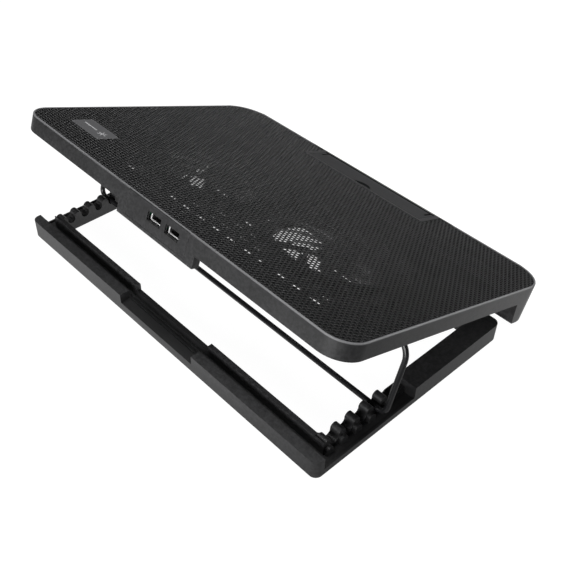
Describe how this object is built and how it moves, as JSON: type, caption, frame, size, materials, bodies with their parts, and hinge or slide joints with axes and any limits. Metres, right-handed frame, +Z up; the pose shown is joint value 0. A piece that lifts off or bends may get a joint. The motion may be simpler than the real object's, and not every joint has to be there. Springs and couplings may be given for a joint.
{
  "type": "laptop cooling pad",
  "caption": "Tilting mesh deck with fans and sockets, hinged to a low base frame and propped in a toothed rack by a bent wire stand.",
  "frame": {"origin": "on the table, in the middle of the footprint", "axes": "+X to the user's right along the hinge, +Y to the raised rear edge, +Z up"},
  "size_m": [0.365, 0.2582, 0.1214],
  "materials": {
    "black_plastic": "fine satin grain",
    "black_cover": "matt black, moulded",
    "mesh_steel": "black powder coat",
    "stand_steel": "satin black coat on steel wire",
    "badge_metal": "satin grey",
    "flap_plastic": "smooth satin",
    "port_steel": "bright nickel plate",
    "contact_plastic": "smooth black",
    "board": "green solder mask",
    "fan_plastic": "smooth black",
    "blade_plastic": "smooth dark, slight gloss",
    "motor_metal": "plain steel",
    "copper": "enamelled copper winding",
    "bearing_bronze": "sintered bronze",
    "screw_steel": "black zinc",
    "pin_steel": "bright steel",
    "rubber": "matt black",
    "lead_wire": "thin insulated wire"
  },
  "bodies": {
    "base": {"base_frame": "black_plastic", "base_pads": "rubber"},
    "deck": {"deck_frame": "black_plastic", "mesh_panel": "mesh_steel", "badge_plate": "badge_metal", "bottom_cover": "black_cover", "port_panel": "black_plastic", "hub_board": "board", "hinge_pins": "pin_steel", "foot_pads": "rubber", "stand_clip_left": "black_plastic", "stand_clip_right": "black_plastic", "fan_leads": "lead_wire", "cover_screws": "screw_steel", "clip_screws": "screw_steel", "fan_screws": "screw_steel", "usb_shell_a": "port_steel", "usb_shell_b": "port_steel", "usb_tongue_a": "contact_plastic", "usb_tongue_b": "contact_plastic", "fan_frame_left": "fan_plastic", "fan_bearing_left": "bearing_bronze", "fan_stator_left": "copper", "fan_frame_right": "fan_plastic", "fan_bearing_right": "bearing_bronze", "fan_stator_right": "copper"},
    "stand": {"wire_stand": "stand_steel"},
    "stopper": {"stopper_flap": "flap_plastic", "stopper_pins": "pin_steel"},
    "rotor_left": {"fan_rotor_left": "blade_plastic", "fan_magnet_left": "motor_metal", "fan_shaft_left": "pin_steel"},
    "rotor_right": {"fan_rotor_right": "blade_plastic", "fan_magnet_right": "motor_metal", "fan_shaft_right": "pin_steel"}
  },
  "joints": [
    {"name": "deck_hinge", "type": "hinge", "parent": "base", "child": "deck", "pos_m": [0, -0.11434, 0.0092], "axis": [1, 0, 0], "range_deg": [0, 69.4]},
    {"name": "stand_pivot", "type": "hinge", "parent": "deck", "child": "stand", "pos_m": [0, 0.03978, 0.07081], "axis": [1, 0, 0], "range_deg": [0, 91]},
    {"name": "stopper_hinge", "type": "hinge", "parent": "deck", "child": "stopper", "pos_m": [0, -0.12058, 0.02993], "axis": [1, 0, 0], "range_deg": [0, 90]},
    {"name": "fan_left_spin", "type": "hinge", "parent": "deck", "child": "rotor_left", "pos_m": [-0.0687, -0.00232, 0.06088], "axis": [0, -0.3515, 0.9362], "continuous": true},
    {"name": "fan_right_spin", "type": "hinge", "parent": "deck", "child": "rotor_right", "pos_m": [0.0687, -0.00232, 0.06088], "axis": [0, -0.3515, 0.9362], "continuous": true}
  ],
  "couplings": [
    {"joint": "stand_pivot", "follows": "deck_hinge", "ratio": 1.3112}
  ]
}
